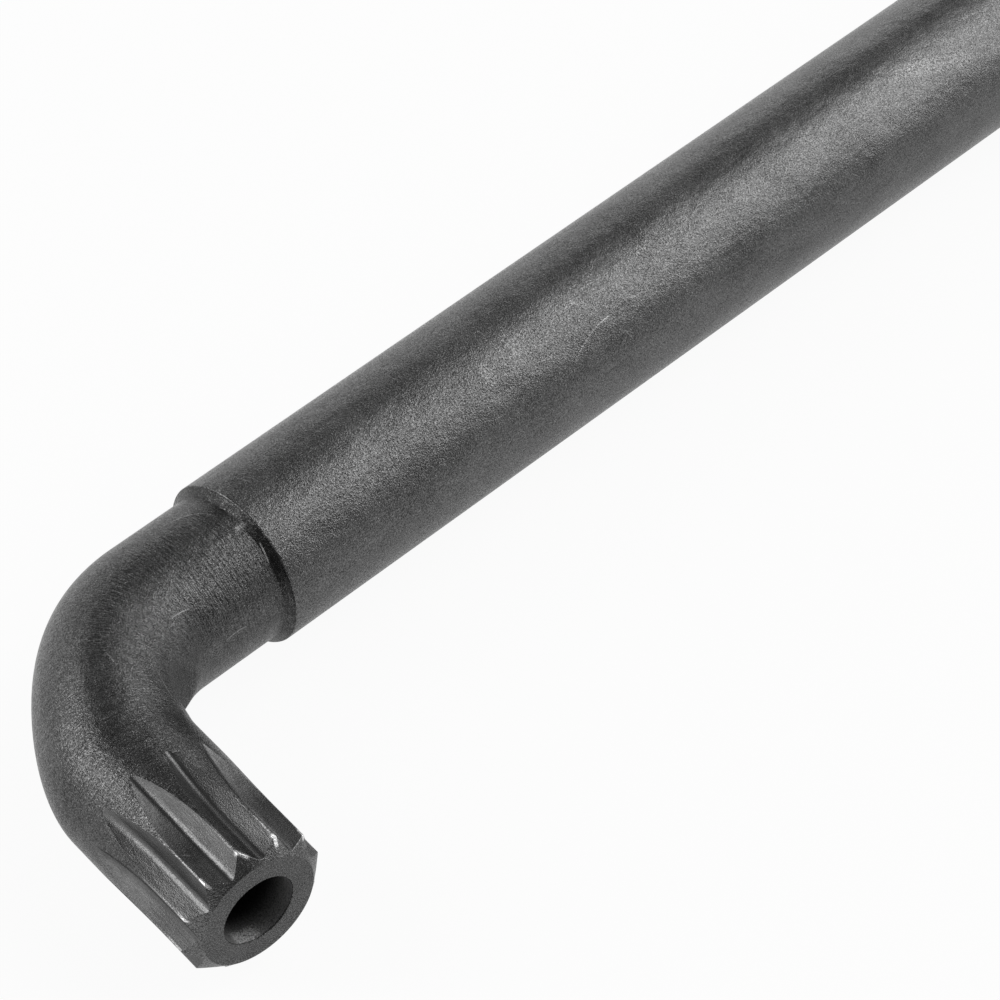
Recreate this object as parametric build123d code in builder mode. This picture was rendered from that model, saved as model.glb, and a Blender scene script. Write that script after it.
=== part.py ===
from build123d import *
import os
from math import acos, degrees, log, pi, radians, sin, tan

# Angled spline key: a round shank, turned down at a steep shoulder to a thinner neck that bends
# round to a short twelve-point bit. One piece of steel, in millimetres and degrees.
#
# Frame: the origin is the centre of the tip's end face, where the pin hole opens. The bit's axis
# is Y and the tip points along -Y. The key lies flat, with both arms' axes in the XY plane.

# Bit
bit_diameter = 9.86           # across its points
bit_length = 11.95            # straight, from the tip to the bend

# Bend: it swells from the bit to the neck, and bending has left it oval
bend_radius = 9.6             # centreline
bend_angle = 84.0
bend_flattening = 0.76        # most that its outer side falls short of round
bend_widening = 0.2           # most that each of its flanks stands out
flattest_share = 0.4          # of the way round from the bit
bend_stations = 8             # ovals it is carried through, after the first

# Print that the bending pin has pressed into the inside of the bend
bending_pin_diameter = 4.8
print_depth = 1.0             # where it is deepest
print_share = 0.44            # of the way round from the bit, where it is deepest

# Neck
neck_diameter = 10.0
neck_length = 5.9             # straight, from the bend to the shoulder

# Shank, which starts with a steep cone as its shoulder
shoulder_height = 0.55        # across the shank
shoulder_length = 0.5         # along it
shank_length = 105.5          # with the shoulder
far_end_chamfer = 0.8

# Tip
tip_chamfer_width = 1.0       # across the bit
tip_chamfer_length = 0.85     # along the bit
pin_hole_diameter = 4.9
pin_hole_depth = 7.0          # to the end of its straight wall
drill_point_angle = 118.0

# Flutes, ground by the V-shaped rim of a wheel that is fed in from the tip
flute_count = 12
flute_depth = 0.8
flute_angle = 120.0
flute_floor_radius = 0.45
full_depth_length = 3.4       # from the tip to where the wheel stops and the floor starts to rise
wheel_diameter = 46.0
first_flute_angle = 23.3      # from +X, about the tip's outward axis

bit_radius = bit_diameter / 2
neck_radius = neck_diameter / 2
shank_radius = neck_radius + shoulder_height
bending_pin_radius = bending_pin_diameter / 2
bending_pin_offset = bend_radius - neck_radius + print_depth - bending_pin_radius
pin_hole_radius = pin_hole_diameter / 2
drill_point_length = pin_hole_radius / tan(radians(drill_point_angle / 2))
root_radius = bit_radius - flute_depth
wheel_radius = wheel_diameter / 2

tip_plane = Plane.XZ          # its normal points out of the tip

# Centreline, from the tip round to the shoulder
with BuildLine() as centreline:
    bit_run = Line((0, 0), (0, bit_length))
    bend_run = JernArc(bit_run @ 1, bit_run % 1, bend_radius, -bend_angle)
    neck_run = Line(bend_run @ 1, bend_run @ 1 + neck_length * (bend_run % 1))

shoulder_plane = Plane(origin=neck_run @ 1, z_dir=neck_run % 1)

with BuildPart() as bit:
    with BuildSketch(tip_plane):
        Circle(bit_radius)
    extrude(amount=-bit_length)
    end_face = bit.faces().sort_by(Axis.Y)[0]
    chamfer(
        end_face.edges(),
        length=tip_chamfer_width,
        length2=tip_chamfer_length,
        reference=end_face,
    )

# The bend is carried through ovals that grow flatter and then rounder again. Each oval's share of
# the flattening is a squared sine, which is 1 at flattest_share and dies away smoothly at both ends.
with BuildPart() as bend:
    for station in range(bend_stations + 1):
        share = station / bend_stations
        oval = sin(pi * share ** (log(0.5) / log(flattest_share))) ** 2
        round_radius = bit_radius + (neck_radius - bit_radius) * share
        half_height = round_radius + bend_widening * oval
        half_width = round_radius - bend_flattening * oval / 2
        station_plane = Plane(origin=bend_run @ share, x_dir=(0, 0, 1), z_dir=bend_run % share)
        with BuildSketch(station_plane):
            with Locations((0, bend_flattening * oval / 2)):
                Ellipse(half_height, half_width)
    sweep(path=bend_run, multisection=True)

with BuildPart() as neck:
    with BuildSketch(shoulder_plane):
        Circle(neck_radius)
    extrude(amount=-neck_length)

with BuildPart() as shank:
    with BuildSketch(shoulder_plane):
        Circle(shank_radius)
    extrude(amount=shank_length)
    shank_axis = Axis(shoulder_plane.origin, shoulder_plane.z_dir)
    shoulder_face = shank.faces().sort_by(shank_axis)[0]
    chamfer(
        shoulder_face.edges(),
        length=shoulder_height,
        length2=shoulder_length,
        reference=shoulder_face,
    )
    far_rim = shank.edges().filter_by(GeomType.CIRCLE).sort_by(shank_axis)[-1]
    chamfer(far_rim, far_end_chamfer)

# Flute cutter, in the tip's frame: Z points out of the tip, and the flute lies on the +X side
rim_half_angle = flute_angle / 2
rim_tip_radius = root_radius - flute_floor_radius * (1 / sin(radians(rim_half_angle)) - 1)
rim_top_radius = bit_radius + flute_depth
rim_half_width = (rim_top_radius - rim_tip_radius) * tan(radians(rim_half_angle))
lift_angle = degrees(acos(1 - 2 * flute_depth / wheel_radius))    # until the rim clears the bit

with BuildPart() as flute_cutter:
    with BuildSketch(Plane.XY.offset(-full_depth_length)) as rim_section:
        with BuildLine():
            Polyline(
                (rim_tip_radius, 0),
                (rim_top_radius, rim_half_width),
                (rim_top_radius, -rim_half_width),
                close=True,
            )
        make_face()
        fillet(rim_section.vertices().sort_by(Axis.X)[0], flute_floor_radius)
    extrude(amount=full_depth_length + tip_chamfer_length)
    wheel_axis = Axis((root_radius + wheel_radius, 0, -full_depth_length), (0, -1, 0))
    revolve(rim_section.sketch, axis=wheel_axis, revolution_arc=lift_angle)

with BuildPart() as spline_key:
    add(bit.part)
    add(bend.part)
    add(neck.part)
    add(shank.part)

    # Flutes
    with Locations(tip_plane):
        with PolarLocations(0, flute_count, start_angle=first_flute_angle):
            add(flute_cutter.part, mode=Mode.SUBTRACT)

    # Print of the bending pin, which stood upright near the bend's centre
    bend_centre = Vector(bend_radius, bit_length)
    print_direction = (bend_run @ print_share - bend_centre).normalized()
    with BuildSketch(Plane.XY):
        with Locations(bend_centre + print_direction * bending_pin_offset):
            Circle(bending_pin_radius)
    extrude(amount=shank_radius, both=True, mode=Mode.SUBTRACT)

    # Pin hole, with the drill's point at the bottom
    with BuildSketch(Plane.XY):
        with BuildLine():
            Polyline(
                (0, 0),
                (pin_hole_radius, 0),
                (pin_hole_radius, pin_hole_depth),
                (0, pin_hole_depth + drill_point_length),
                close=True,
            )
        make_face()
    revolve(axis=Axis.Y, mode=Mode.SUBTRACT)

spline_key.part.label = "spline_key"
os.makedirs("parts", exist_ok=True)
export_step(spline_key.part, "parts/spline_key.step")
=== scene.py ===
import bpy
import numpy as np
from mathutils import Matrix, Vector


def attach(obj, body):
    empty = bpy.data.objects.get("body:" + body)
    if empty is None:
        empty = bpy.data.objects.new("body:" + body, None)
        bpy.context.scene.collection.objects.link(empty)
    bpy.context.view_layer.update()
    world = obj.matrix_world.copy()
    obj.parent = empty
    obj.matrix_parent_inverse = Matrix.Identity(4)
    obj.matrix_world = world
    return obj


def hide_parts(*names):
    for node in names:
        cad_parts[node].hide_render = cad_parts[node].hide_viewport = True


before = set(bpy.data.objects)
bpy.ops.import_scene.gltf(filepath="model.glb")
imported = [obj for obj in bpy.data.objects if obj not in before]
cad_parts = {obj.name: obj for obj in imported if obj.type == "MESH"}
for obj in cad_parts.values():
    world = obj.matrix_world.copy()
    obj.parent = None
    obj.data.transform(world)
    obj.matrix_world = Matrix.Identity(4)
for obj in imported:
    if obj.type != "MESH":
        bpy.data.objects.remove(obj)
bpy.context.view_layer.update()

# ---------------------------------------------------------------------------------------------
# The key: one bar of tool steel, turned down at a steep shoulder to a neck that was bent round an
# upright pin, whose print it keeps. Twelve flutes are ground into its end by the V-shaped rim of
# a wheel, the tip is chamfered and drilled for the pin of a pinned screw, and all is blackened.

millimetre = 0.001

bit_radius = 4.93
bit_length = 11.95
neck_radius = 5.0
neck_length = 5.9
shank_radius = 5.55
shank_length = 105.5
shoulder_length = 0.5
shoulder_break = 0.05
far_chamfer = 0.8
tip_chamfer_width = 1.0
tip_chamfer_length = 0.85
hole_radius = 2.45
hole_depth = 7.0
hole_mouth_break = 0.06
drill_half_angle = np.radians(59.0)
bend_radius = 9.6
bend_angle = np.radians(84.0)
bend_length = bend_radius * bend_angle
bend_flattening = 0.76
bend_widening = 0.2
flattest_share = 0.4
print_share = 0.44
print_depth = 1.0
print_edge_round = 0.04
print_fade = 0.6
pin_radius = 2.4
pin_turn = bend_angle * print_share
pin_offset = bend_radius - neck_radius + print_depth - pin_radius
flute_count = 12
flute_depth = 0.8
flute_half_angle = np.radians(60.0)
flute_floor_radius = 0.45
full_depth_length = 3.4
worn_crest_length = 4.3
first_flute = np.radians(23.3)
wheel_radius = 23.0
root_radius = bit_radius - flute_depth
wheel_centre = root_radius + wheel_radius
end_face_radius = bit_radius - tip_chamfer_width
drill_tip = hole_depth + hole_radius / np.tan(drill_half_angle)
shoulder = bit_length + bend_length + neck_length
rim = shoulder + shoulder_length
far_end = shoulder + shank_length


def rim_height(aside):
    """How far from the bit's axis the wheel's rim stands, this far to the side of its middle.
    The rim is a V whose point is rounded: an arc of the floor radius, then a straight flank."""
    aside = np.abs(aside)
    tangent = flute_floor_radius * np.cos(flute_half_angle)
    sharp_point = root_radius - flute_floor_radius * (1 / np.sin(flute_half_angle) - 1)
    dip = np.sqrt(flute_floor_radius**2 - np.minimum(aside, tangent) ** 2)
    rounded = root_radius + flute_floor_radius - dip
    return np.where(aside < tangent, rounded, sharp_point + aside / np.tan(flute_half_angle))


def ground_radius(angle, past):
    """Radius of the ground surface at an angle from the flute's middle, this far past full depth.
    The rim point rises on the wheel's circle, and the ray at that angle is stepped until it
    meets it: each step goes half-way to the risen rim over the cosine of the angle."""
    radius = np.full(np.broadcast(angle, past).shape, root_radius)
    for _ in range(40):
        drop = (wheel_centre - rim_height(radius * np.sin(angle))) ** 2 - past**2
        risen = wheel_centre - np.sqrt(np.maximum(drop, 0.0))
        radius = 0.5 * (radius + risen / np.cos(angle))
    return radius


def run_out(angle):
    """Where each part of a flute ends: how far past full depth the wheel's rim leaves the round
    bar. It is the other side of a right triangle whose long side is the wheel's radius to that
    part of the rim and whose short side reaches from the wheel's axis down to the bar."""
    long_side = wheel_centre - rim_height(bit_radius * np.sin(angle))
    short_side = wheel_centre - bit_radius * np.cos(angle)
    return np.sqrt(np.maximum(long_side**2 - short_side**2, 0.0))


def flute_edge_angle():
    """Half of the angle that a flute takes up at the surface, found by halving an interval."""
    low, high = 0.0, np.pi / flute_count
    for _ in range(50):
        middle = (low + high) / 2
        inside = ground_radius(np.array([middle]), np.zeros(1))[0] < bit_radius
        low, high = (middle, high) if inside else (low, middle)
    return low


def packed(count, low, high, toward):
    """Steps from low to high, drawn toward the high end: a blend of even steps and of the
    steps of a quarter sine wave."""
    even = np.linspace(0.0, 1.0, count)
    return low + (high - low) * ((1 - toward) * even + toward * np.sin(even * np.pi / 2))


def centreline(along):
    """Point on the bent axis and the direction to the inside of the bend, at a length from the
    tip: a straight run, an arc of the bend's radius, and a straight run off its end."""
    turn = np.clip((along - bit_length) / bend_radius, 0.0, bend_angle)
    before = np.minimum(along, bit_length)
    after = np.maximum(along - bit_length - bend_length, 0.0)
    x = bend_radius * (1 - np.cos(turn)) + after * np.sin(turn)
    y = before + bend_radius * np.sin(turn) + after * np.cos(turn)
    point = np.stack([x, y, np.zeros_like(x)], axis=-1)
    inward = np.stack([np.cos(turn), -np.sin(turn), np.zeros_like(x)], axis=-1)
    return point, inward


def oval_section(angle, radius, share):
    """Across and up from the axis, this share of the way round the bend. The round section has
    become an oval: narrower across, with its outer side drawn in, and a little taller. How oval
    it is goes by a squared sine of the way round."""
    oval = np.sin(np.pi * share ** (np.log(0.5) / np.log(flattest_share))) ** 2
    across = (radius - bend_flattening * oval / 2) * np.cos(angle) + bend_flattening * oval / 2
    height = (radius + bend_widening * oval) * np.sin(angle)
    return across, height


def pin_face(share):
    """How far inward from the axis the bending pin lets the bar reach. A ray from the bend's
    centre meets the pin's far side at the pin's offset times the cosine of the angle between
    them, and half of the chord that it cuts from the pin."""
    beside_pin = share * bend_angle - pin_turn
    half_chord = pin_radius**2 - (pin_offset * np.sin(beside_pin)) ** 2
    reach = pin_offset * np.cos(beside_pin) + np.sqrt(np.maximum(half_chord, 0.0))
    return np.where(half_chord > 0, bend_radius - reach, bend_radius)


def bend_share(along):
    """Share of the way round the bend at a length from the tip, 0 before it and 1 past it."""
    return np.clip((along - bit_length) / bend_length, 0.0, 1.0)


def placed(angle, radius, along):
    """Carries a point of the straight bar onto the bent one. The inside of the bend gives way to
    the bending pin: the lesser of the two reaches, rounded a little where they are equal."""
    point, inward = centreline(along)
    share = bend_share(along)
    across, height = oval_section(angle, radius, share)
    pin = pin_face(share)
    across = -print_edge_round * np.logaddexp(-across / print_edge_round, -pin / print_edge_round)
    return point + inward * across[..., None] + np.array([0.0, 0.0, 1.0]) * height[..., None]


# Columns run round the bar. Each flute has a fine set of them that is closest at its two edges,
# and the narrow land between two flutes has a few more.
edge_angle = flute_edge_angle()
edge_strip = np.radians(0.3)
half_flute = packed(11, 0.0, edge_angle - edge_strip, toward=0.8)
half_flute = np.concatenate([half_flute, [edge_angle, (edge_angle + np.pi / flute_count) / 2]])
one_flute = np.concatenate([-half_flute[:0:-1], half_flute, [np.pi / flute_count]])
flute_turn = np.arange(flute_count) * 2 * np.pi / flute_count + first_flute
in_flute = np.tile(one_flute, flute_count)
around = (flute_turn[:, None] + one_flute[None, :]).ravel()
columns = len(around)
on_flute = np.abs(in_flute) < edge_angle
crest_strip = 2.5 * edge_strip
crest = np.abs(in_flute) > edge_angle - crest_strip


def ring(radius, along):
    """Rows of one radius and one length from the tip each, the same all the way round."""
    radius, along = np.broadcast_arrays(np.atleast_1d(radius), np.atleast_1d(along))
    return (
        np.repeat(radius[:, None], columns, axis=1).astype(float),
        np.repeat(along[:, None], columns, axis=1).astype(float),
    )


def between(share, start, end):
    """Rows that share out the way from one curve round the bar to another."""
    return start[None, :] + share[:, None] * (end - start)[None, :]


# Rows run from the bottom of the pin hole out over the tip, down the flutes, round the bend and
# along to the far end, in one band for each surface. Where a flute meets the tip chamfer or runs
# out, a row follows its edge, and a second row stands close to each sharp edge to keep it crisp.
flute_surface = np.minimum(ground_radius(in_flute, np.zeros(columns)), bit_radius)
chamfer_end = (flute_surface - end_face_radius) * tip_chamfer_length / tip_chamfer_width
flute_run = run_out(np.minimum(np.abs(in_flute), edge_angle))
flute_end = full_depth_length + np.where(on_flute, flute_run, 0.0)

bands = {}
way = np.linspace(0.05, 1.0, 5)
bands["drill point"] = ring(hole_radius * way, drill_tip + (hole_depth - drill_tip) * way)
bands["hole wall"] = ring(hole_radius, np.linspace(hole_depth * 0.97, hole_mouth_break * 2, 14))
way = np.linspace(0.0, np.pi / 2, 5)
bands["hole mouth"] = ring(
    hole_radius + hole_mouth_break * (1 - np.cos(way)), hole_mouth_break * (1 - np.sin(way))
)
bands["end face"] = ring(
    np.linspace(hole_radius + hole_mouth_break * 1.6, end_face_radius - 0.03, 9), 0.0
)
way = np.concatenate([[0.0, 0.03], np.linspace(0.12, 0.88, 6), [0.97, 1.0]])
along = between(way, np.zeros(columns), chamfer_end)
bands["tip chamfer"] = (end_face_radius + along * tip_chamfer_width / tip_chamfer_length, along)
way = np.concatenate([[0.006], packed(64, 0.018, 0.985, toward=0.55), [0.995]])
along = between(way, chamfer_end, flute_end)
ground = ground_radius(in_flute[None, :], np.maximum(along - full_depth_length, 0.0))
bands["flutes"] = (np.where(on_flute, np.minimum(ground, bit_radius), bit_radius), along)
way = np.concatenate([[0.0, 0.01], np.linspace(0.06, 1.0, 14)])
along = between(way, flute_end, np.full(columns, bit_length))
bands["round bit"] = (np.full_like(along, bit_radius), along)
way = np.concatenate([
    np.linspace(0.0, 0.1, 6)[1:], np.linspace(0.1, 0.78, 78)[1:], np.linspace(0.78, 1.0, 11)[1:]
])
bands["bend"] = ring(
    bit_radius + (neck_radius - bit_radius) * way, bit_length + bend_length * way
)
bands["neck"] = ring(
    neck_radius, np.linspace(bit_length + bend_length, shoulder - 0.04, 10)[1:]
)
way = np.array([0.0, 0.04, 0.3, 0.6, 0.9])
bands["shoulder"] = ring(
    neck_radius + (shank_radius - neck_radius) * way, shoulder + shoulder_length * way
)
way = np.array([-0.7, 0.0, 0.7])
bands["shoulder rim"] = ring(
    shank_radius - shoulder_break * np.array([0.55, 0.16, 0.0]), rim + way * shoulder_break
)
bands["shank"] = ring(
    shank_radius, np.linspace(rim + 3 * shoulder_break, far_end - far_chamfer, 40)
)
way = np.array([0.04, 0.96, 1.0])
bands["far chamfer"] = ring(shank_radius - far_chamfer * way, far_end - far_chamfer * (1 - way))
bands["far face"] = ring(np.linspace(shank_radius - far_chamfer - 0.05, 0.3, 7), far_end)

radius = np.concatenate([band[0] for band in bands.values()])
along = np.concatenate([band[1] for band in bands.values()])
angle = np.broadcast_to(around[None, :], radius.shape)
first_row = dict(zip(bands, np.cumsum([0] + [len(band[0]) for band in bands.values()])))


def over(*names):
    """1 on the rows of the named bands, 0 on all others."""
    mask = np.zeros_like(radius)
    for name in names:
        mask[first_row[name]:first_row[name] + len(bands[name][0])] = 1.0
    return mask


# Where the surface was ground, turned, faced, drilled or pressed by the pin, and how far its
# edges are worn bright: most along the flutes' crests near the tip, less round the rims. The
# single rows are the flutes' far ends, both edges of the tip chamfer and the hole's mouth.
fade = np.clip(1.6 * (1 - along / worn_crest_length), 0.0, 1.0)
edge_mask = over("flutes") * crest * fade + over("shoulder rim") * 0.5
edge_mask[first_row["round bit"], on_flute | crest] = 1.0
edge_mask[first_row["flutes"] - 1] = 1.0
edge_mask[first_row["tip chamfer"] - 1] = 0.6
edge_mask[first_row["hole mouth"] + 2] = 0.7
past_pin = oval_section(angle, radius, bend_share(along))[0] - pin_face(bend_share(along))
masks = {
    "ground": over("flutes") * on_flute,
    "turned": over("round bit", "bend", "neck", "shoulder") + over("flutes") * ~on_flute,
    "faced": over("hole mouth", "end face", "shoulder"),
    "drilled": over("drill point", "hole wall"),
    "edge": edge_mask,
    "print": np.clip(past_pin / print_fade, 0.0, 1.0),
}

# The mesh: four-sided faces between the rows and a fan of triangles at each end. It carries each
# point's place on the straight bar, in millimetres, because the finish follows the bar.
surface = placed(angle, radius, along)
straight = np.stack([radius * np.cos(angle), radius * np.sin(angle), along], axis=-1)
poles = placed(np.zeros(2), np.zeros(2), np.array([drill_tip, far_end]))
points = np.concatenate([surface.reshape(-1, 3), poles]) * millimetre
unbent = np.concatenate([straight.reshape(-1, 3), [[0, 0, drill_tip], [0, 0, far_end]]])

index = np.arange(radius.size).reshape(radius.shape)
beside = np.roll(index, -1, axis=1)
quads = np.stack([index[:-1], index[1:], beside[1:], beside[:-1]], axis=-1).reshape(-1, 4)
hole_cap = np.stack([np.full(columns, radius.size), index[0], beside[0]], axis=-1)
far_cap = np.stack([np.full(columns, radius.size + 1), beside[-1], index[-1]], axis=-1)

steel = bpy.data.meshes.new("key")
steel.from_pydata(points.tolist(), [], quads.tolist() + hole_cap.tolist() + far_cap.tolist())
steel.polygons.foreach_set("use_smooth", np.ones(len(steel.polygons), dtype=bool))
unbent_layer = steel.attributes.new("unbent", "FLOAT_VECTOR", "POINT")
unbent_layer.data.foreach_set("vector", unbent.astype(np.float32).ravel())
for mask_name, mask in masks.items():
    layer = steel.attributes.new(mask_name, "FLOAT", "POINT")
    layer.data.foreach_set("value", np.append(mask.ravel(), [0.0, 0.0]).astype(np.float32))
steel.update()

key = bpy.data.objects.new("key", steel)
bpy.context.scene.collection.objects.link(key)
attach(key, "root")
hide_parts("spline_key")


# The finish: black oxide on bare steel, a thin satin skin that is darker and duller in its fine
# pits and worn to bright metal along the sharp edges. Every tool mark of the steel under it
# shows: rings on the turned neck and bend, fine lines down the flutes, facing rings on the ends.


class Tone:
    """A socket of one material, on which + - * and abs add Math nodes."""

    def __init__(self, tree, socket=None):
        self.tree = tree
        self.socket = socket

    def node(self, kind, settings, sockets, output=0):
        """Adds any node: its settings first, then the values or links of its sockets."""
        made = self.tree.nodes.new(kind)
        for name, value in settings.items():
            setattr(made, name, value)
        for name, value in sockets.items():
            if isinstance(value, Tone):
                self.tree.links.new(value.socket, made.inputs[name])
            else:
                made.inputs[name].default_value = value
        return Tone(self.tree, made.outputs[output]) if len(made.outputs) else made

    def math(self, operation, *values):
        """A Math node on one, two or three values."""
        return self.node("ShaderNodeMath", {"operation": operation}, dict(enumerate(values)))

    def __add__(self, other):
        return self.math("ADD", self, other)

    def __radd__(self, other):
        return self.math("ADD", other, self)

    def __sub__(self, other):
        return self.math("SUBTRACT", self, other)

    def __rsub__(self, other):
        return self.math("SUBTRACT", other, self)

    def __mul__(self, other):
        return self.math("MULTIPLY", self, other)

    def __rmul__(self, other):
        return self.math("MULTIPLY", other, self)

    def __abs__(self):
        return self.math("ABSOLUTE", self)

    def step(self, low, high):
        """Smooth step: 0 below low, 1 above high."""
        sockets = {"Value": self, "From Min": low, "From Max": high}
        return self.node("ShaderNodeMapRange", {"interpolation_type": "SMOOTHSTEP"}, sockets)

    def layer(self, name, output="Fac"):
        """A layer of numbers or places that the mesh carries."""
        return self.node("ShaderNodeAttribute", {"attribute_name": name}, {}, output)

    def part(self, axis):
        """One of the three lengths of a place."""
        return self.node("ShaderNodeSeparateXYZ", {}, {"Vector": self}, axis)

    def turn_round(self):
        """The angle of a place round the bar, from the inside of the bend upwards."""
        return self.math("ARCTAN2", self.part("Y"), self.part("X"))

    def from_axis(self):
        """How far a place is from the bar's axis: its length with the part along it taken out."""
        flat = self.stretched((1.0, 1.0, 0.0))
        return self.node("ShaderNodeVectorMath", {"operation": "LENGTH"}, {0: flat}, "Value")

    def stretched(self, scale):
        """A place with each of its three lengths scaled."""
        return self.node("ShaderNodeVectorMath", {"operation": "MULTIPLY"}, {0: self, 1: scale})

    def noise(self, scale, detail, roughness):
        """Cloudy noise between about 0.2 and 0.8 at this place."""
        sockets = {"Vector": self, "Scale": scale, "Detail": detail, "Roughness": roughness}
        return self.node("ShaderNodeTexNoise", {"noise_dimensions": "3D"}, sockets)

    def stroke(self, angle, along, turn, length, width, bow=0.0):
        """1 inside a short bowed stroke on the unrolled surface: the angle of its middle from the
        inside of the bend, its place from the tip, its turn, and its own length and width."""
        laid = self.node("ShaderNodeMapping", {"vector_type": "TEXTURE"}, {
            "Vector": self,
            "Location": (np.radians(angle) * neck_radius, along, 0.0),
            "Rotation": (0.0, 0.0, np.radians(turn)),
        })
        run, side = laid.part("X"), laid.part("Y")
        inside = 1.0 - abs(side - run * run * bow).step(width * 0.4, width)
        return inside * (1.0 - abs(run).step(length * 0.25, length * 0.5))

    def strokes(self, marks):
        """The sum of a list of strokes."""
        return sum(self.stroke(*mark) for mark in marks)

    def mixed(self, first, second):
        """One colour where this is 0 and the other where it is 1."""
        return self.node("ShaderNodeMix", {"data_type": "RGBA"}, {0: self, 6: first, 7: second}, 2)


def grey(level):
    """A colour with no hue, from 0 for black to 1 for white."""
    return (level, level, level, 1.0)


black_oxide = bpy.data.materials.new("black_oxide_steel")
black_oxide.use_nodes = True
black_oxide.node_tree.nodes.clear()
paint = Tone(black_oxide.node_tree)
place = paint.layer("unbent", "Vector")
ground, turned, faced = paint.layer("ground"), paint.layer("turned"), paint.layer("faced")
drilled, edge, print_shade = paint.layer("drilled"), paint.layer("edge"), paint.layer("print")
along_bar = place.part("Z")
unrolled = paint.node("ShaderNodeCombineXYZ", {}, {
    "X": place.turn_round() * neck_radius, "Y": along_bar,
})

# The grain and the tool marks, each as a noise at its own scale.
grain = place.noise(9.0, 1.5, 0.7)
fleck = place.noise(15.0, 1.0, 0.5)
hoops = place.stretched((1.1, 1.1, 7.0)).noise(1.0, 2.5, 0.65)
swell = place.stretched((0.45, 0.45, 0.25)).noise(1.0, 3.0, 0.6)
blotch = place.noise(0.22, 3.0, 0.55)
patch = place.stretched((0.8, 0.8, 0.5)).noise(1.0, 3.0, 0.6)
lines = place.stretched((8.0, 8.0, 0.35)).noise(1.0, 3.0, 0.7)
dented = place.stretched((0.5, 0.5, 0.35)).noise(1.0, 2.0, 0.6)
turning = paint.node("ShaderNodeTexNoise", {"noise_dimensions": "1D"}, {
    "W": place.from_axis() * 7.0 + patch, "Detail": 2.0,
})

# The oxide: darker in its pits, and darkened by painted shade over the pin's print. The pits are
# full on the near part of the shank, a little weaker on the turned neck and toward the far end, and
# faint in the flutes.
pits = (grain - 0.5) + (fleck - 0.5)
pitting = 1.0 - ground * 0.70 - turned * 0.15 - along_bar.step(40.0, 100.0) * 0.35
lightness = (
    0.46 - turned * 0.10 - faced * 0.15 + ground * 0.07
    + pits * pitting * 1.15 + (hoops - 0.5) * turned * 0.55
    + (blotch - 0.5) * 0.30 + (patch - 0.5) * 0.25
    + (lines - 0.5) * ground * 0.6 + (turning - 0.5) * faced * 0.6
)
# Painted shade: the oxide is darkened over the pin's print, most where the bar is pressed in
# deepest.
oxide = (lightness - print_shade * 0.28).step(0.0, 1.0).mixed(grey(0.040), grey(0.230))

# Wear. Each stroke: angle round from the inside of the bend, distance from the tip, turn, length,
# width and, where it is curved, its bow.
scratches = unrolled.strokes((
    (108.0, 30.3, 128.0, 3.9, 0.05, 0.2), (50.5, 24.6, 98.0, 2.6, 0.05, 0.02),
    (13.0, 28.0, 89.0, 1.8, 0.05, 0.1), (43.2, 15.5, 70.0, 5.2, 0.06),
    (101.0, 13.4, 10.0, 0.8, 0.05), (87.0, 17.6, 60.0, 1.1, 0.05),
    (45.3, 59.35, 75.0, 5.2, 0.05, 0.07), (128.3, 2.2, 90.0, 4.4, 0.10),
    (123.8, 3.2, 45.0, 0.5, 0.06), (74.9, 31.75, 90.0, 0.8, 0.18),
    (87.6, 53.3, 0.0, 1.1, 0.06), (30.7, 61.95, 153.0, 1.1, 0.06),
    (158.3, 2.8, 90.0, 5.5, 0.08), (98.3, 2.6, 90.0, 4.0, 0.06),
))
rubs = unrolled.strokes((
    (60.5, 93.5, 107.0, 8.5, 0.7), (66.0, 54.3, 8.0, 2.6, 0.7), (62.0, 51.5, 20.0, 1.8, 0.6),
    (72.9, 65.7, 90.0, 2.4, 0.35), (68.6, 59.4, 90.0, 2.6, 0.3),
))
nicks = unrolled.strokes((
    (96.2, 0.8, 40.0, 1.0, 0.22), (68.3, 0.7, 80.0, 0.75, 0.2), (128.2, 1.0, 90.0, 1.0, 0.14),
    (158.0, 0.95, 90.0, 0.7, 0.10), (38.3, 1.0, 90.0, 0.9, 0.16), (-81.7, 0.9, 70.0, 1.0, 0.3),
    (50.0, 31.97, 6.0, 1.6, 0.05),
))
worn_edge = (edge * (0.30 + (dented - 0.5) * 2.0 + (grain - 0.5) * 1.2)).step(0.15, 0.6) * 0.6
bright_fleck = fleck.step(0.64, 0.74) * (1.0 - ground) * 0.25
worn = worn_edge + bright_fleck + scratches * (grain * 0.9 - 0.05) + rubs * (grain - 0.42) * 0.9
outside = nicks.mixed(worn.mixed(oxide, grey(0.50)), grey(0.88))

# The pin hole: grey scale, with a painted pool of light at one place just inside the mouth, and
# painted shade, black, further down.
bore_scale = (grain + fleck - 0.5).step(0.2, 0.8).mixed(grey(0.12), grey(0.32))
# Painted light: a bright patch on the hole's wall just inside the mouth.
painted_light_patch = unrolled.stroke(-106.0, 0.4, 0.0, 4.6, 0.9) * (0.65 + pits * 3.5)
wall = painted_light_patch.mixed(bore_scale, grey(0.75))
# Painted shade: the hole's wall fades to black from 0.2 to 2.4 mm below the mouth.
colour = drilled.mixed(outside, along_bar.step(0.2, 2.4).mixed(wall, grey(0.012)))

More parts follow.
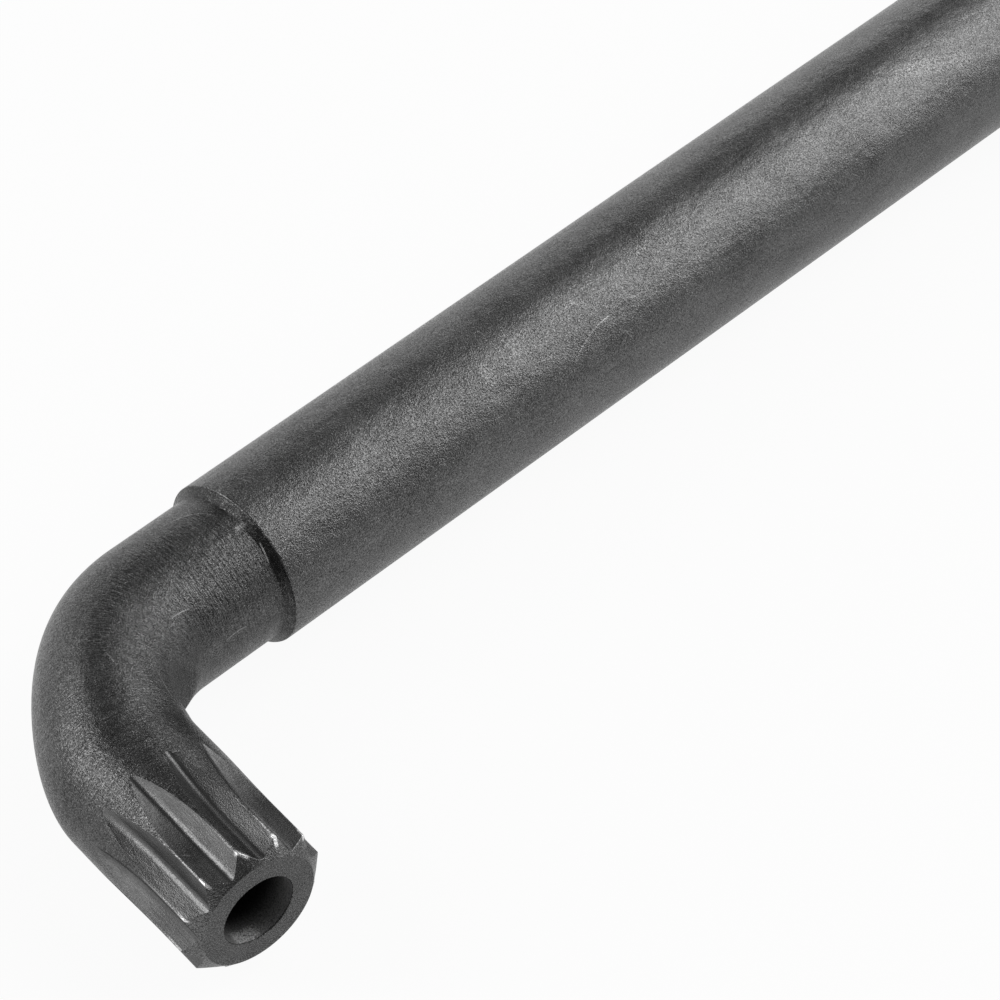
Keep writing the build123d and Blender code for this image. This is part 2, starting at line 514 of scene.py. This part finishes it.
roughness = 0.27 + (patch - 0.5) * 0.12 - pits * pitting * 0.7 + drilled * 0.25
height = (
    pits * pitting * 0.6 + (swell - 0.5) * (3.6 - ground * 2.6)
    + (hoops - 0.5) * turned * 1.2 + (lines - 0.5) * ground * 0.12 + (turning - 0.5) * faced * 0.5
)
relief_depth = 0.045 * millimetre
relief = paint.node("ShaderNodeBump", {}, {
    "Strength": 1.0, "Distance": relief_depth, "Height": height,
}, "Normal")
skin = paint.node("ShaderNodeBsdfPrincipled", {}, {
    "Base Color": colour, "Metallic": 1.0 - drilled * 0.85, "Roughness": roughness, "Normal": relief,
})
paint.node("ShaderNodeOutputMaterial", {}, {"Surface": skin})
steel.materials.append(black_oxide)


# The table: a wide pale sheet that the key lies on, level with the underside of its shank. It
# runs on far past the view, so it is the background too.

table_level = -shank_radius * millimetre
table_reach = 3.0
corners = [(-1, -1), (1, -1), (1, 1), (-1, 1)]
table = bpy.data.meshes.new("table")
table.from_pydata(
    [(x * table_reach, y * table_reach, table_level) for x, y in corners], [], [(0, 1, 2, 3)]
)
floor = bpy.data.objects.new("table", table)
bpy.context.scene.collection.objects.link(floor)

pale = bpy.data.materials.new("pale_table")
pale.use_nodes = True
pale.node_tree.nodes.clear()
sheet = Tone(pale.node_tree)
matt = sheet.node("ShaderNodeBsdfDiffuse", {}, {"Color": grey(0.90)})
lit = sheet.node("ShaderNodeEmission", {}, {"Color": grey(1.0), "Strength": 1.0})
seen, mirrored, through = (
    sheet.node("ShaderNodeLightPath", {}, {}, ray)
    for ray in ("Is Camera Ray", "Is Glossy Ray", "Is Transmission Ray")
)
share_lit = seen * 0.94 + (mirrored + through) * 0.5
table_shader = sheet.node("ShaderNodeMixShader", {}, {0: share_lit, 1: matt, 2: lit})
sheet.node("ShaderNodeOutputMaterial", {}, {"Surface": table_shader})
table.materials.append(pale)


# The light: soft lamps in a dim grey room, in three groups: off the shank's end on the bit's
# side, behind the bend, and behind the shank. Each faces the key, and its power is its
# brightness times pi times its area.

key_centre = Vector((20.0, 18.0, 0.0)) * millimetre

# Name, azimuth, elevation, distance, width, height, brightness
lamps = (
    ("lamp_side", -20.0, 36.0, 0.6, 0.46, 0.56, 1.75),
    ("lamp_side_low", -20.0, 14.0, 0.6, 0.4, 0.3, 0.8),
    ("lamp_side_high", 5.0, 50.0, 0.6, 0.4, 0.4, 1.15),
    ("lamp_behind", 163.0, 12.0, 0.6, 0.3, 0.35, 1.0),
    ("lamp_behind_high", 165.0, 40.0, 0.6, 0.35, 0.35, 0.7),
    ("lamp_corner", 140.0, 34.0, 0.6, 0.36, 0.36, 2.9),
    ("lamp_corner_low", 108.0, 6.0, 0.6, 0.35, 0.3, 0.7),
    ("lamp_right", 45.0, 10.0, 0.7, 0.4, 0.3, 1.2),
    ("lamp_far_right", 80.0, 15.0, 0.7, 0.4, 0.3, 0.75),
)
for name, azimuth, elevation, distance, width, height, brightness in lamps:
    lamp = bpy.data.lights.new(name, "AREA")
    lamp.shape = "RECTANGLE"
    lamp.size = width
    lamp.size_y = height
    lamp.energy = brightness * np.pi * width * height
    turn, rise = np.radians(azimuth), np.radians(elevation)
    toward = Vector((np.cos(turn) * np.cos(rise), np.sin(turn) * np.cos(rise), np.sin(rise)))
    holder = bpy.data.objects.new(name, lamp)
    holder.location = key_centre + toward * distance
    holder.rotation_euler = (-toward).to_track_quat("-Z", "Y").to_euler()
    bpy.context.scene.collection.objects.link(holder)

room = bpy.data.worlds.new("room")
bpy.context.scene.world = room
room.use_nodes = True
room.node_tree.nodes.clear()
air = Tone(room.node_tree)
dim = air.node("ShaderNodeBackground", {}, {"Color": grey(1.0), "Strength": 0.15})
air.node("ShaderNodeOutputWorld", {}, {"Surface": dim})


# The camera: a long lens, above and in front of the tip, turned so that the bit comes down
# toward the lower left and the shank runs out of view at the upper right.

camera_place = Vector((-94.51, -129.81, 204.15)) * millimetre
camera_aim = Vector((0.44729, 0.5207, -0.72719))
upright = Vector((0.4485, 0.57286, 0.68606))
right = camera_aim.cross(upright).normalized()
lens = bpy.data.cameras.new("camera")
lens.lens = 163.93
lens.sensor_width = 36.0
lens.clip_start = 0.01
lens.clip_end = 20.0
camera = bpy.data.objects.new("camera", lens)
facing = Matrix((right, upright, -camera_aim)).transposed()
camera.matrix_world = Matrix.Translation(camera_place) @ facing.to_4x4()
bpy.context.scene.collection.objects.link(camera)
bpy.context.scene.camera = camera
bpy.context.scene.view_settings.view_transform = "Standard"
